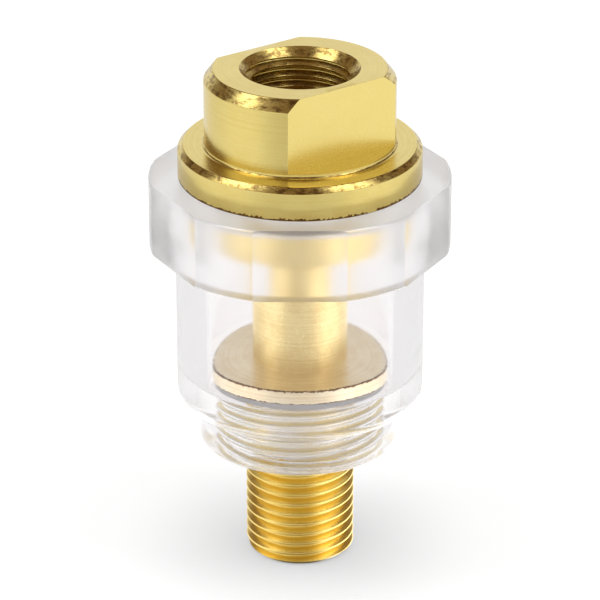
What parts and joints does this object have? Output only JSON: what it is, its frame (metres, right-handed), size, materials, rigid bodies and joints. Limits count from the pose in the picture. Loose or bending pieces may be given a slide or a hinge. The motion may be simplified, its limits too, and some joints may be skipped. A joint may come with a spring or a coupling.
{
  "type": "in-line air tool oiler",
  "caption": "Small in-line air tool oiler: brass inlet head with spanner flats, clear bowl with hexagonal collar, inner brass stem and disc, and a brass outlet nipple with a pipe thread.",
  "frame": {"origin": "centre of the outlet nipple's end face, on which the part stands", "axes": "+Z along the flow axis, from the outlet up to the inlet; -Y faces the picture's camera"},
  "size_m": [0.0356, 0.034, 0.0625],
  "materials": {
    "nipple_brass": "turned, bright",
    "white_washer": "smooth fluoropolymer",
    "clear_bowl": "clear, polished",
    "stem_brass": "turned, satin",
    "felt": "pressed felt",
    "pale_rubber": "translucent silicone",
    "head_brass": "turned and milled",
    "spring_steel": "stamped"
  },
  "bodies": {
    "bowl_unit": {"outlet_nipple": "nipple_brass", "nipple_seal": "white_washer", "oil_bowl": "clear_bowl", "stem_tube": "stem_brass", "oil_wick": "felt"},
    "seal_ring": {"head_seal": "pale_rubber"},
    "head": {"inlet_head": "head_brass"},
    "clip": {"needle_clip": "spring_steel"},
    "needle": {"metering_needle": "stem_brass"}
  },
  "joints": [
    {"name": "head_lift", "type": "slide", "parent": "bowl_unit", "child": "seal_ring", "axis": [0, 0, 1], "range_m": [0, 0.004]},
    {"name": "head_turn", "type": "hinge", "parent": "seal_ring", "child": "head", "pos_m": [0, 0, 0.05], "axis": [0, 0, 1], "range_deg": [0, 1440]},
    {"name": "needle_lift", "type": "slide", "parent": "head", "child": "clip", "axis": [0, 0, 1], "range_m": [0, 0.001]},
    {"name": "needle_turn", "type": "hinge", "parent": "clip", "child": "needle", "pos_m": [0, 0, 0.05], "axis": [0, 0, 1], "range_deg": [0, 720]}
  ],
  "couplings": [
    {"joint": "head_lift", "follows": "head_turn", "m_per_rad": 0.00015915},
    {"joint": "needle_turn", "follows": "needle_lift", "rad_per_m": 12566}
  ]
}
